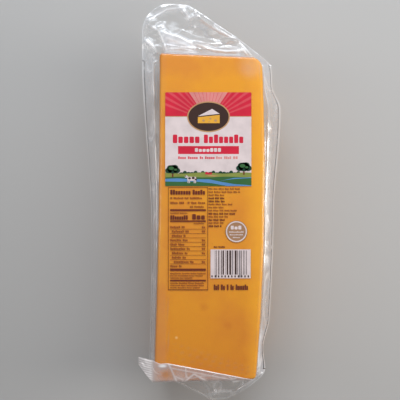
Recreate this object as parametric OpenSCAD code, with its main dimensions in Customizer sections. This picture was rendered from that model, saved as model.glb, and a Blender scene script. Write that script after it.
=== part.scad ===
// Loaf of cheddar sealed in a clear film pouch, lying on its underside.
// The origin is on the underside, midway between the loaf's sides and ends.
// +Y points to the head end, where the longer film ear is, and +Z points up.

/* [Cheese loaf] */
// Length of the loaf between its end faces
loaf_length = 279; // [200:1:340]
// Width of the loaf at its end faces
loaf_width = 86.4; // [64:0.2:110]
// Height of the loaf
loaf_height = 86; // [60:1:105]
// How far the +X side bows outwards
right_bow = 4.8; // [0:0.2:6]
// How far the -X side bows inwards
left_bow = 1.5; // [0:0.5:3]
// How far the foot end stands towards -X of the head end
foot_lean = 5; // [0:0.5:8]
// How far the +X corner of the head face falls back
head_skew = 3.8; // [0:0.2:6]
// How far the +X corner of the foot face falls back
foot_skew = 2; // [0:0.2:6]
// Rounding of the edges round the top and the underside
edge_round = 2.4; // [1:0.2:4]
// Rounding of the upright corners
corner_round = 3; // [2:0.5:8]
// Rounding of the worn upright corner, at the head on the +X side
worn_round = 10; // [3:0.5:16]

/* [Film pouch] */
// Thickness of the film
film_wall = 0.6; // [0.4:0.1:1.2]
// Clearance between the film and the cheese
film_gap = 0.1; // [0.05:0.05:0.3]
// Height of the side fins above the underside
fin_height = 46; // [20:1:50]
// Thickness of the doubled film at a free edge
fin_edge = 1.4; // [1:0.1:3]
// Thickness of the doubled film where it leaves the loaf
fin_root = 7; // [4:0.5:12]
// Reach of the -X fin at the head end
left_fin_head = 18; // [8:0.5:24]
// Reach of the -X fin at the foot end
left_fin_foot = 6.5; // [4:0.5:12]
// Widest reach of the +X fin, near the head end
right_fin_head = 18.5; // [8:0.5:24]
// Reach of the +X fin over the foot half
right_fin_foot = 12; // [7:0.5:16]
// How far the +X fin is drawn in beside the foot seal
foot_pinch = 4; // [0:0.5:5]

/* [Head ear] */
// How far the film reaches past the head face
head_ear = 52; // [30:1:70]
// How far the ear's tip stands towards -X of the loaf's middle
head_tip_left = 25; // [0:1:40]
// Width of the ear's tip
head_tip_width = 15; // [6:1:20]
// How far past the end face the two films meet
head_collapse = 14; // [8:1:20]
// Height of the folds pressed into the ear
head_fold = 3; // [1:0.2:4]

/* [Foot ear] */
// How far the film reaches past the foot face
foot_ear = 27; // [18:1:40]
// How far the ear's tip stands towards +X of the loaf's middle
foot_tip_right = 10; // [0:1:20]
// Width of the ear's tip
foot_tip_width = 13; // [6:1:24]
// How far past the end face the two films meet
foot_collapse = 9; // [6:1:12]
// Height of the folds pressed into the ear
foot_fold = 2; // [1:0.2:4]

/* [Seal flap] */
// Thickness of the folded heat seal that lies over the foot edge
flap_thickness = 1.4; // [1:0.1:3]
// How far the flap lies over the top at the -X side
flap_cover_left = 18.5; // [10:0.5:30]
// How far the flap lies over the top at the +X side
flap_cover_right = 2; // [2:0.5:8]
// How far the flap's free tip reaches past the -X side
flap_tip_reach = 13; // [6:1:20]
// Width of the free tip
flap_tip_width = 6.5; // [4:0.5:12]
// How far the free tip hangs below the top
flap_tip_drop = 5; // [2:1:12]

/* [Hidden] */

cheese_colour = [0.93, 0.60, 0.17];
film_colour = [0.85, 0.88, 0.90, 0.45];

arc_steps = 5;                     // straight pieces in each rounded corner
side_steps = 10;                   // straight pieces along each bowed side
skin = film_gap + film_wall;       // from the cheese to the film's outer face
pouch_top = loaf_height + 2 * skin;
head_y = loaf_length / 2;
foot_y = -loaf_length / 2;
bury = 2;                          // how far a fin starts inside the film's outer face
join = 3;                          // how far an ear runs back over the fins at the corners
fold_spacing = 26;                 // from one ridge in an ear's film to the next
fold_slant = 0.8;                  // how many ridges the folds drift across from an ear's root to its tip

function mix(a, b, share) = a + (b - a) * share;
function clamp(value, low, high) = max(low, min(high, value));
function ease(share) = let (s = clamp(share, 0, 1)) s * s * (3 - 2 * s);
function unit(v) = v / norm(v);
function bow_at(share) = 4 * share * (1 - share);
// Straight ridges and valleys between -0.5 and 0.5, one for each whole turn.
function zigzag(turns) = abs(((turns % 1 + 1) % 1) * 2 - 1) - 0.5;

// ---- plan of the loaf ----

// X of the loaf's middle line at y.
function middle_x(y) = foot_lean * (y / loaf_length);
// Share of the way from the foot end to the head end at y.
function side_share(y) = clamp((y - foot_y) / loaf_length, 0, 1);
// X of the loaf's -X and +X sides at y.
function left_x(y) = middle_x(y) - loaf_width / 2 + left_bow * bow_at(side_share(y));
function right_x(y) = middle_x(y) + loaf_width / 2 + right_bow * bow_at(side_share(y));
// Y of the two end faces at x, because neither is quite square.
function across(x) = clamp((x + loaf_width / 2) / loaf_width, 0, 1);
function head_face(x) = head_y - head_skew * across(x);
function foot_face(x) = foot_y + foot_skew * across(x);

// Points of a rounding of radius r at corner, between the points before and after it.
function rounded(before, corner, after, r) =
    let (
        a = unit(before - corner),
        b = unit(after - corner),
        half = acos(a * b) / 2,
        centre = corner + unit(a + b) * r / sin(half),
        start = corner + a * r / tan(half) - centre,
        turn = 180 - 2 * half
    )
    [for (i = [0 : arc_steps])
        let (t = turn * i / arc_steps)
        centre + [start.x * cos(t) - start.y * sin(t), start.x * sin(t) + start.y * cos(t)]];

// Closed plan outline, anticlockwise, grown outwards by grow.
function plan(grow) =
    let (
        foot_left = [left_x(foot_y) - grow, foot_y - grow],
        foot_right = [right_x(foot_y) + grow, foot_y + foot_skew - grow],
        head_right = [right_x(head_y) + grow, head_y - head_skew + grow],
        head_left = [left_x(head_y) - grow, head_y + grow],
        along = [for (i = [1 : side_steps - 1]) mix(foot_y, head_y, i / side_steps)]
    )
    concat(
        rounded(head_left, foot_left, foot_right, corner_round + grow),
        rounded(foot_left, foot_right, head_right, corner_round + grow),
        [for (y = along) [right_x(y) + grow, y]],
        rounded(foot_right, head_right, head_left, worn_round + grow),
        rounded(head_right, head_left, foot_left, corner_round + grow),
        [for (i = [side_steps - 2 : -1 : 0]) [left_x(along[i]) - grow, along[i]]]
    );

// ---- solids from rings and grids of points ----

// Solid through a stack of closed rings with equal numbers of points.
module stacked(rings) {
    n = len(rings[0]);
    last = len(rings) - 1;
    sides = [for (k = [0 : last - 1], i = [0 : n - 1])
        let (j = (i + 1) % n)
        [k * n + i, (k + 1) * n + i, (k + 1) * n + j, k * n + j]];
    polyhedron(
        points = [for (ring = rings, p = ring) p],
        faces = concat(
            [[for (i = [0 : n - 1]) i]],
            [[for (i = [n - 1 : -1 : 0]) last * n + i]],
            [for (q = sides) [q[0], q[1], q[2]]],
            [for (q = sides) [q[0], q[2], q[3]]]
        )
    );
}

// Solid between an upper and a lower grid of points: rows run towards +Y, and each row towards +X.
module between(upper, lower) {
    rows = len(upper);
    cols = len(upper[0]);
    n = rows * cols;
    cells = [for (r = [0 : rows - 2], c = [0 : cols - 2])
        let (i = r * cols + c)
        [i, i + 1, i + cols + 1, i + cols]];
    rim = concat(
        [for (c = [0 : cols - 1]) c],
        [for (r = [1 : rows - 1]) r * cols + cols - 1],
        [for (c = [cols - 2 : -1 : 0]) (rows - 1) * cols + c],
        [for (r = [rows - 2 : -1 : 1]) r * cols]
    );
    m = len(rim);
    polyhedron(
        points = concat([for (row = upper, p = row) p], [for (row = lower, p = row) p]),
        faces = concat(
            [for (q = cells) [q[2], q[1], q[0]]],
            [for (q = cells) [q[3], q[2], q[0]]],
            [for (q = cells) [n + q[0], n + q[1], n + q[2]]],
            [for (q = cells) [n + q[0], n + q[2], n + q[3]]],
            [for (i = [0 : m - 1]) [rim[i], rim[(i + 1) % m], n + rim[(i + 1) % m]]],
            [for (i = [0 : m - 1]) [rim[i], n + rim[(i + 1) % m], n + rim[i]]]
        )
    );
}

// Joins pieces into one closed mesh. With no new size given, resize leaves them as large as they are.
module joined() {
    resize([0, 0, 0]) children();
}

// Loaf grown outwards by grow, standing on z = 0 when grow is the film's skin.
module loaf(grow) {
    r = edge_round + grow;
    low = skin - grow;
    high = skin + loaf_height + grow;
    turns = [for (i = [0 : arc_steps]) 90 * i / arc_steps];
    ring_heights = concat(
        [for (t = turns) [r * (1 - sin(t)), low + r * (1 - cos(t))]],
        [for (i = [arc_steps : -1 : 0]) [r * (1 - sin(turns[i])), high - r * (1 - cos(turns[i]))]]
    );
    stacked([for (h = ring_heights) [for (p = plan(grow - h[0])) [p.x, p.y, h[1]]]]);
}

// ---- film past the loaf's sides and ends ----

// Reach of each side fin at y: both widen towards the head, and the +X one ends in a small ear.
function left_reach(y) =
    let (s = side_share(y))
    mix(left_fin_foot, left_fin_head, 0.26 * s + 0.74 * ease((s - 0.4) / 0.6));
function right_reach(y) =
    let (s = side_share(y))
    mix(right_fin_foot, right_fin_head, ease((s - 0.52) / 0.34) - ease((s - 0.86) / 0.07))
    - foot_pinch * (1 - ease(abs(s - 0.075) / 0.09));

// Fin along one side: side is -1 or 1. It thins from the loaf to its free edge.
module side_fin(side) {
    steps = 22;
    waves = 3;
    sway = 1.5;
    foot_end = side < 0 ? foot_y : foot_y + foot_skew;
    head_end = side < 0 ? head_y : head_y - head_skew;
    ys = [for (i = [0 : steps]) mix(foot_end, head_end, i / steps)];
    root = [for (y = ys) (side < 0 ? left_x(y) - skin + bury : right_x(y) + skin - bury)];
    free = [for (i = [0 : steps])
        side < 0 ? left_x(ys[i]) - left_reach(ys[i]) : right_x(ys[i]) + right_reach(ys[i])];
    bend = [for (i = [0 : steps]) sway * sin(360 * waves * i / steps)];
    function row(i, share, up) = [
        mix(root[i], free[i], share), ys[i],
        fin_height + bend[i] * share + up * mix(fin_root, fin_edge, share) / 2
    ];
    shares = side < 0 ? [1, 0.7, 0.35, 0] : [0, 0.35, 0.7, 1];
    function sheet(up) = [for (i = [0 : steps]) [for (s = shares) row(i, s, up)]];
    between(sheet(1), sheet(-1));
}

// How much of the loaf's height the film still spans at a distance d past an end face.
function spanned(d, collapse) = pow(clamp(1 - d / collapse, 0, 1), 2);
// 1 between the loaf's sides, easing to 0 at them.
function abreast(x, left, right) =
    let (spread = 6) ease(min(x - left, right - x) / spread);

// Height of the film above (up = 1) or below (up = -1) the ear's middle plane at x, d.
function ear_half(x, d, collapse, up, left, right) =
    fin_edge / 2
    + ((up > 0 ? pouch_top - edge_round - fin_height : fin_height - edge_round) - fin_edge / 2)
        * spanned(max(d, 0), collapse) * abreast(x, left, right);

// Ridge and valley folds that fan out from the loaf's corners over the ear.
function fan_fold(x, d, reach, height) =
    let (share = clamp(d / reach, 0, 1))
    height * ease(2.2 * share) * zigzag(x / fold_spacing + share * fold_slant);

// Head ear: its -X edge runs straight and then rounds into the tip, and its +X edge slants in.
module head_film() {
    steps_out = 16;
    steps_across = 22;
    tip_left = -head_tip_left - head_tip_width / 2;
    tip_right = -head_tip_left + head_tip_width / 2;
    start_left = left_x(head_y) - left_reach(head_y);
    start_right = right_x(head_y) + right_reach(head_y);
    // Straight over the first half, then a quarter round.
    function left_edge(u) =
        let (v = clamp(2 * u - 1, 0, 1)) mix(start_left, tip_left, 1 - sqrt(1 - v * v));
    function right_edge(u) = mix(start_right, tip_right, pow(u, 1.15));
    function point(i, j, up) =
        let (
            d = mix(-join, head_ear, i / steps_out),
            u = clamp(d / head_ear, 0, 1),
            x = mix(left_edge(u), right_edge(u), j / steps_across),
            z = fin_height + fan_fold(x, d, head_ear, head_fold)
                + up * ear_half(x, d, head_collapse, up, left_x(head_y), right_x(head_y))
        )
        [x, head_face(x) + d, z];
    function sheet(up) = [for (i = [0 : steps_out]) [for (j = [0 : steps_across]) point(i, j, up)]];
    between(sheet(1), sheet(-1));
}

// Foot ear: a shorter, blunter triangle of film below the seal flap.
module foot_film() {
    steps_out = 12;
    steps_across = 20;
    tip_left = foot_tip_right - foot_tip_width / 2;
    tip_right = foot_tip_right + foot_tip_width / 2;
    start_left = left_x(foot_y) - left_reach(foot_y);
    start_right = right_x(foot_y) + right_reach(foot_y);
    function left_edge(u) = mix(start_left, tip_left, pow(u, 0.85));
    function right_edge(u) = mix(start_right, tip_right, pow(u, 1.7));
    function point(i, j, up) =
        let (
            d = mix(foot_ear, -join, i / steps_out),
            u = clamp(d / foot_ear, 0, 1),
            x = mix(left_edge(u), right_edge(u), j / steps_across),
            z = fin_height + fan_fold(x, d, foot_ear, foot_fold)
                + up * ear_half(x, d, foot_collapse, up, left_x(foot_y), right_x(foot_y))
        )
        [x, foot_face(x) - d, z];
    function sheet(up) = [for (i = [0 : steps_out]) [for (j = [0 : steps_across]) point(i, j, up)]];
    between(sheet(1), sheet(-1));
}

// Heat seal folded up over the foot edge: it lies on the top, and its -X tip stands free past the side.
module seal_flap() {
    steps_across = 18;
    steps_along = 7;
    sunk = film_wall / 2;
    bend = edge_round + skin;
    edge_start = 0.9;
    left_side = left_x(foot_y);
    right_side = right_x(foot_y);
    left_end = left_side - flap_tip_reach;
    right_end = right_side - corner_round;
    // How far the rounded foot edge lies below the top at a distance e in from the foot face.
    function edge_drop(e) =
        let (inset = clamp(bend - e, 0, bend)) bend - sqrt(bend * bend - inset * inset);
    function point(i, j, up) =
        let (
            x = mix(left_end, right_end, j / steps_across),
            past = max(left_side - x, 0) / flap_tip_reach,
            over = (x - left_side) / (right_side - left_side),
            face = foot_face(x) - skin,
            near = foot_y + mix(flap_cover_left, flap_cover_right, over),
            far = mix(face + edge_start, near - flap_tip_width, past),
            y = mix(far, near, pow(i / steps_along, 1.6)),
            drop = edge_drop(y - face) * (1 - ease(3 * past)) + flap_tip_drop * past * past
        )
        [x, y, pouch_top - sunk - drop + flap_thickness * (1 + up) / 2];
    function sheet(up) = [for (i = [0 : steps_along]) [for (j = [0 : steps_across]) point(i, j, up)]];
    between(sheet(1), sheet(-1));
}

// ---- the two pieces ----

module cheese() {
    color(cheese_colour) joined() loaf(0);
}

module pouch() {
    color(film_colour) difference() {
        joined() {
            loaf(skin);
            side_fin(-1);
            side_fin(1);
            head_film();
            foot_film();
            seal_flap();
        }
        loaf(film_gap);
    }
}

cheese();
pouch();
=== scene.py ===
"""Looks of a loaf of cheddar sealed in a clear film pouch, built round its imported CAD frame.

The pieces are the cheese, the film with its side fins and end ears, the folded heat seal over the
foot edge, and the print on the film. Lengths are metres unless a name ends in _mm.
"""

import logging
import math
from contextlib import contextmanager
from dataclasses import dataclass, field
from enum import Enum
from typing import Callable, Iterator, Sequence

import bmesh
import bpy
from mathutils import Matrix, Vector, noise


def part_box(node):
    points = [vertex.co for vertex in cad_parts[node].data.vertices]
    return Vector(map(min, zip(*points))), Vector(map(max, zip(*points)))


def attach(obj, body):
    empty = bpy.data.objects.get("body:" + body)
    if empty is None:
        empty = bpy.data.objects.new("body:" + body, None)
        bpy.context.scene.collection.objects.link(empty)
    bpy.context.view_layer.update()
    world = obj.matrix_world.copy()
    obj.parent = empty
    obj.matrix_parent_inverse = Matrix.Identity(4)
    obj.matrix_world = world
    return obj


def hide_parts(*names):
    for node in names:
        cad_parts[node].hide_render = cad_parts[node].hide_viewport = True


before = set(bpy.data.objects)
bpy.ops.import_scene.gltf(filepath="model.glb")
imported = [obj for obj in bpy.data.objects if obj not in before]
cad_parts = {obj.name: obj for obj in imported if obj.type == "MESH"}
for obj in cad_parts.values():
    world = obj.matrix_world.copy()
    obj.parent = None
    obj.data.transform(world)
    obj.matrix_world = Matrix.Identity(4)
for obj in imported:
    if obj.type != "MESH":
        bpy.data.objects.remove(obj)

MM = 0.001
BODY = "root"
PRINT_LEFT = -35.8 * MM
PRINT_FROM_HEAD = 34.2 * MM
PRINT_CLEAR = 0.04 * MM
log = logging.getLogger("pouch")

Pair = tuple[float, float]
Trio = tuple[float, float, float]
Colour = Trio
Spot = Trio  # x, y and radius
FilmPoint = tuple[Vector, float, float]  # place, haze and crease


# ---- small sums ----


def mix(a: float, b: float, share: float) -> float:
    """A number that is a at share 0 and b at share 1."""
    return a + (b - a) * share


def clamp(value: float, low: float = 0.0, high: float = 1.0) -> float:
    """The value held between low and high."""
    return max(low, min(high, value))


def ease(share: float) -> float:
    """A smooth step from 0 to 1."""
    s = clamp(share)
    return s * s * (3 - 2 * s)


def inset(distance: float, radius: float) -> float:
    """How far a rounded edge stands back at a distance in from the face that it meets."""
    short = clamp(radius - distance, 0, radius)
    return radius - math.sqrt(radius * radius - short * short)


class Wrinkle(Enum):
    """Kinds of wrinkle in the film: how far apart they are, in mm, and where in the noise they start."""

    SLACK = (30, 3.7)
    VEINS = (20, 3.7)
    FACETS = (34, 3.7)
    SMALL_FACETS = (13, 7.7)
    FIN_WAVES = (24, 5.7)
    FIN_CLOUDS = (30, 4.4)
    SEAL_BREAKS = (50, 1.3)
    SECOND_BREAKS = (40, 6.3)
    EDGE_BREAKS = (16, 2.9)
    DRAGS = (11, 8.1)
    RIM_BREAKS = (20, 7.7)
    EAR_CLOUDS = (35, 5.5)
    EAR_PUFFS = (20, 9.1)
    FOLD_BREAKS = (18, 7.1)
    FLAP_WAVES = (12, 6.2)
    TIP_WAVES = (5, 2.2)
    FLAP_VEINS = (14, 8.8)
    FLAP_CLOUDS = (20, 1.9)

    def at(self, place: Vector) -> float:
        """Height of the wrinkles, from 0 in their sharp valleys to 1."""
        size, seed = self.value
        return min(1.0, 2.2 * abs(noise.noise(place / (size * MM) + Vector((seed, 2 * seed, -seed)))))


def to_line(x: float, y: float, a: Pair, b: Pair) -> Pair:
    """Finds where a line from a to b is nearest to a point.

    Args:
        x: X of the point.
        y: Y of the point.
        a: Start of the line.
        b: End of the line.

    Returns:
        The distance, and the share of the way from a to b.
    """
    bx, by = b[0] - a[0], b[1] - a[1]
    along = clamp(((x - a[0]) * bx + (y - a[1]) * by) / (bx * bx + by * by))
    return math.hypot(x - a[0] - bx * along, y - a[1] - by * along), along


def linear(red: int, green: int, blue: int) -> Colour:
    """Turns a display colour into a scene colour.

    Args:
        red: Red, from 0 to 255.
        green: Green, from 0 to 255.
        blue: Blue, from 0 to 255.

    Returns:
        The colour as the shaders take it.
    """
    return tuple(
        c / 12.92 if c <= 0.04045 else ((c + 0.055) / 1.055) ** 2.4
        for c in (red / 255, green / 255, blue / 255)
    )


# ---- tools of the modeller ----


def select_only(obj: bpy.types.Object) -> None:
    """Leaves one object selected and active.

    Args:
        obj: The object.
    """
    bpy.ops.object.select_all(action="DESELECT")
    obj.select_set(True)
    bpy.context.view_layer.objects.active = obj


@contextmanager
def editing(obj: bpy.types.Object) -> Iterator[bmesh.types.BMesh]:
    """Edit mode on one object, with its mesh open for selecting by code.

    Args:
        obj: The object.

    Yields:
        The mesh as it is in edit mode.
    """
    select_only(obj)
    bpy.ops.object.mode_set(mode="EDIT")
    bpy.context.tool_settings.mesh_select_mode = (False, True, False)
    bpy.ops.mesh.select_all(action="DESELECT")
    try:
        yield bmesh.from_edit_mesh(obj.data)
    finally:
        bpy.ops.object.mode_set(mode="OBJECT")


def settle(obj: bpy.types.Object) -> None:
    """Puts an object at the origin, unturned and unscaled, with its place in its mesh."""
    select_only(obj)
    bpy.ops.object.transform_apply(location=True, rotation=True, scale=True)


def ride(obj: bpy.types.Object, finish: bpy.types.Material) -> None:
    """Gives a finished piece its material and its body, and reports it.

    Args:
        obj: The piece.
        finish: Its material.
    """
    obj.data.materials.clear()
    obj.data.materials.append(finish)
    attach(obj, BODY)
    log.info("%s: %d faces", obj.name, len(obj.data.polygons))


def join(objects: Sequence[bpy.types.Object], name: str) -> bpy.types.Object:
    """Joins objects into the first one and names it.

    Args:
        objects: What is joined.
        name: Name of the whole.

    Returns:
        The joined object.
    """
    select_only(objects[0])
    for other in objects[1:]:
        other.select_set(True)
    bpy.ops.object.join()
    objects[0].name = objects[0].data.name = name
    return objects[0]


class Nodes:
    """Short words for building a material's nodes."""

    def __init__(self, name: str) -> None:
        """Starts an empty material.

        Args:
            name: The material's name.
        """
        self.material = bpy.data.materials.new(name)
        self.material.use_nodes = True
        self.tree = self.material.node_tree
        self.tree.nodes.clear()
        self.place = self.add("ShaderNodeTexCoord").outputs["Object"]

    def add(self, kind: str, **settings: object) -> bpy.types.Node:
        """Adds a node with the given settings.

        Args:
            kind: The node's type.
            **settings: Its properties, by name.

        Returns:
            The node.
        """
        node = self.tree.nodes.new(kind)
        for key, value in settings.items():
            setattr(node, key, value)
        return node

    def wire(self, value: object, socket: bpy.types.NodeSocket) -> None:
        """Links an output to a socket, or sets the socket to a plain value.

        Args:
            value: An output or a plain value.
            socket: The input that takes it.
        """
        if isinstance(value, bpy.types.NodeSocket):
            self.tree.links.new(value, socket)
        else:
            socket.default_value = value

    def maths(self, operation: str, *values: object, clamped: bool = False) -> bpy.types.NodeSocket:
        """Works out a sum on outputs or plain numbers.

        Args:
            operation: The sum's name.
            *values: Outputs or plain numbers.
            clamped: Whether the result is held from 0 to 1.

        Returns:
            The result.
        """
        node = self.add("ShaderNodeMath", operation=operation, use_clamp=clamped)
        for socket, value in zip(node.inputs, values):
            self.wire(value, socket)
        return node.outputs[0]

    def noise(
        self, size: float, detail: float = 3, stretch: Trio = (1, 1, 1), turn: float = 0
    ) -> bpy.types.NodeSocket:
        """Makes cloudy noise.

        Args:
            size: How far across the patches are.
            detail: Levels of finer patches.
            stretch: How much longer the patches are along each axis.
            turn: Degrees by which those axes are turned.

        Returns:
            The noise, from 0 to 1.
        """
        mapping = self.add("ShaderNodeMapping", vector_type="TEXTURE")
        mapping.inputs["Scale"].default_value = tuple(size * s for s in stretch)
        mapping.inputs["Rotation"].default_value = (0, 0, -math.radians(turn))
        self.wire(self.place, mapping.inputs["Vector"])
        node = self.add("ShaderNodeTexNoise")
        node.inputs["Scale"].default_value = 1
        node.inputs["Detail"].default_value = detail
        self.wire(mapping.outputs[0], node.inputs["Vector"])
        return node.outputs["Fac"]

    def ranged(
        self, value: object, low: float, high: float, to_low: float, to_high: float
    ) -> bpy.types.NodeSocket:
        """Maps a value from one range to another.

        Args:
            value: The value.
            low: Where it starts.
            high: Where it ends.
            to_low: What low becomes.
            to_high: What high becomes.

        Returns:
            The mapped value, held between the two.
        """
        node = self.add("ShaderNodeMapRange")
        for socket, number in zip(node.inputs, (value, low, high, to_low, to_high)):
            self.wire(number, socket)
        return node.outputs["Result"]

    def blend(self, share: object, a: object, b: object) -> bpy.types.NodeSocket:
        """Mixes two colours.

        Args:
            share: How much of b there is.
            a: The first colour.
            b: The second colour.

        Returns:
            The mixed colour.
        """
        node = self.add("ShaderNodeMix", data_type="RGBA")
        self.wire(share, node.inputs["Factor"])
        for socket, colour in zip([s for s in node.inputs if s.type == "RGBA"], (a, b)):
            self.wire((*colour, 1.0) if isinstance(colour, tuple) else colour, socket)
        return next(s for s in node.outputs if s.type == "RGBA")

    def bump(self, height: object, strength: float, distance: float) -> bpy.types.NodeSocket:
        """Turns a height into a normal.

        Args:
            height: The height.
            strength: How strongly it shades.
            distance: How high a height of 1 is.

        Returns:
            The normal.
        """
        node = self.add("ShaderNodeBump")
        node.inputs["Strength"].default_value = strength
        node.inputs["Distance"].default_value = distance
        self.wire(height, node.inputs["Height"])
        return node.outputs[0]

    def attribute(self, name: str) -> bpy.types.NodeSocket:
        """A number stored on the piece's points."""
        return self.add("ShaderNodeAttribute", attribute_name=name).outputs["Fac"]

    def principled(self, **inputs: object) -> bpy.types.NodeSocket:
        """Adds a Principled shader.

        Args:
            **inputs: Inputs by name, with _ for a space.

        Returns:
            The shader.
        """
        node = self.add("ShaderNodeBsdfPrincipled")
        for key, value in inputs.items():
            value = (*value, 1.0) if isinstance(value, tuple) else value
            self.wire(value, node.inputs[key.replace("_", " ")])
        return node.outputs[0]

    def finish(self, shader: bpy.types.NodeSocket) -> bpy.types.Material:
        """Links the shader to the output and returns the material.

        Args:
            shader: What the surface shows.

        Returns:
            The finished material.
        """
        out = self.add("ShaderNodeOutputMaterial")
        self.tree.links.new(shader, out.inputs["Surface"])
        return self.material


# ---- finishes ----


@dataclass(frozen=True)
class CheeseFinish:
    """Smooth orange cheddar: faint cloudy mottling, darker damp patches and pinholes, with painted light.

    The pinholes, the skin towards the foot and slanting streaks under the film's folds are painted darker as
    shade, and the +X side of the upper face is painted lighter as a highlight.

    A span is where an effect starts and where it is full, along one axis.
    """

    light: Colour = linear(238, 160, 22)
    deep: Colour = linear(226, 142, 19)
    damp_and_shade: Colour = linear(208, 116, 14)
    lit_side_colour: Colour = linear(250, 174, 30)
    crumb: Colour = linear(252, 208, 140)
    roughness: float = 0.42
    face: float = 87 * MM
    patches: tuple[Spot, ...] = (
        (-4 * MM, -76 * MM, 9 * MM),
        (18 * MM, -91 * MM, 10 * MM),
        (-6 * MM, -118 * MM, 8 * MM),
        (33 * MM, -132 * MM, 7 * MM),
    )
    pale_crumb: Spot = (-26.4 * MM, -101.8 * MM, 1.3 * MM)
    foot_shade_span: Pair = (-20 * MM, -150 * MM)
    fold_shadow_span: Pair = (-100 * MM, -120 * MM)
    lit_side_span: Pair = (34 * MM, 49 * MM)
    pinholes_per_m: float = 220

    def near(self, n: Nodes, spot: Spot, most: float, blur: object) -> bpy.types.NodeSocket:
        """Makes a share that rises towards the middle of a spot on the upper face.

        Args:
            n: The material in hand.
            spot: X, y and radius.
            most: The share in the middle.
            blur: What is added to the distance, to make the outline uneven.

        Returns:
            The share.
        """
        x, y, radius = spot
        away = n.add("ShaderNodeVectorMath", operation="DISTANCE")
        n.wire(n.place, away.inputs[0])
        away.inputs[1].default_value = (x, y, self.face)
        return n.ranged(n.maths("ADD", away.outputs["Value"], blur), radius * 1.25, radius * 0.3, 0, most)

    def damp_and_shade_share(self, n: Nodes, y: object, blur: object) -> bpy.types.NodeSocket:
        """Works out where the skin is damp, and where shade is painted: towards the foot and under the film's
        folds.

        Args:
            n: The material in hand.
            y: The y of the place.
            blur: What makes outlines uneven.

        Returns:
            The share of the darker colour, for damp patches and for painted shade.
        """
        patches_and_shade = n.ranged(n.noise(0.022, 2), 0.62, 0.74, 0, 0.3)
        for patch in self.patches:
            patches_and_shade = n.maths("MAXIMUM", patches_and_shade, self.near(n, patch, 0.85, blur))
        # painted shade: the skin darkens towards the foot, away from the head lamp
        patches_and_shade = n.maths("MAXIMUM", patches_and_shade, n.ranged(y, *self.foot_shade_span, 0, 0.5))
        # painted shadow: slanting dark streaks under the film's folds near the foot
        fold_shadow = n.ranged(n.noise(0.008, 2, (9, 1, 4), 15), 0.42, 0.8, 0, 0.75)
        return n.maths("MAXIMUM", patches_and_shade, n.maths("MULTIPLY", fold_shadow, n.ranged(y, *self.fold_shadow_span, 0, 1)))

    def pinholes(self, n: Nodes) -> bpy.types.NodeSocket:
        """Scatters small pinholes in groups: each is sunk by the bump, and painted shade darkens its colour.

        Args:
            n: The material in hand.

        Returns:
            The share of a hole.
        """
        cells = n.add("ShaderNodeTexVoronoi")
        cells.inputs["Scale"].default_value = self.pinholes_per_m
        n.wire(n.place, cells.inputs["Vector"])
        hole = n.ranged(cells.outputs["Distance"], 0.05, 0.12, 1, 0)
        return n.maths("MULTIPLY", hole, n.ranged(n.noise(0.012, 1), 0.6, 0.64, 0, 0.6))

    def material(self) -> bpy.types.Material:
        """Mixes the cheese's material.

        Returns:
            The material.
        """
        n = Nodes("cheddar")
        split = n.add("ShaderNodeSeparateXYZ")
        n.wire(n.place, split.inputs[0])
        clouds = n.ranged(n.noise(0.04, 4), 0.38, 0.62, 0, 1)
        blur = n.maths("MULTIPLY", n.noise(0.012, 3), 0.008)
        colour = n.blend(clouds, self.light, self.deep)
        # damp patches, painted shade towards the foot and painted fold shadows, all in the darker colour
        colour = n.blend(self.damp_and_shade_share(n, split.outputs["Y"], blur), colour, self.damp_and_shade)
        # painted highlight: the +X side of the upper face is lighter, where the light falls on it
        side = n.ranged(n.maths("ADD", split.outputs["X"], blur), *self.lit_side_span, 0, 0.9)
        colour = n.blend(side, colour, self.lit_side_colour)
        colour = n.blend(self.near(n, self.pale_crumb, 0.7, 0.0), colour, self.crumb)
        holes = self.pinholes(n)
        height = n.maths("SUBTRACT", n.maths("MULTIPLY", n.noise(0.006, 4), 0.3), holes)
        shader = n.principled(
            # painted shade: the colour darkens in each pinhole
            Base_Color=n.blend(holes, colour, self.damp_and_shade),
            Roughness=n.ranged(clouds, 0, 1, self.roughness - 0.05, self.roughness + 0.06),
            Normal=n.bump(height, 0.25, 0.0004),
            Subsurface_Weight=0.12,
            Subsurface_Scale=0.002,
            Subsurface_Radius=Vector((1, 0.5, 0.12)),
        )
        return n.finish(shader)


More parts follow.
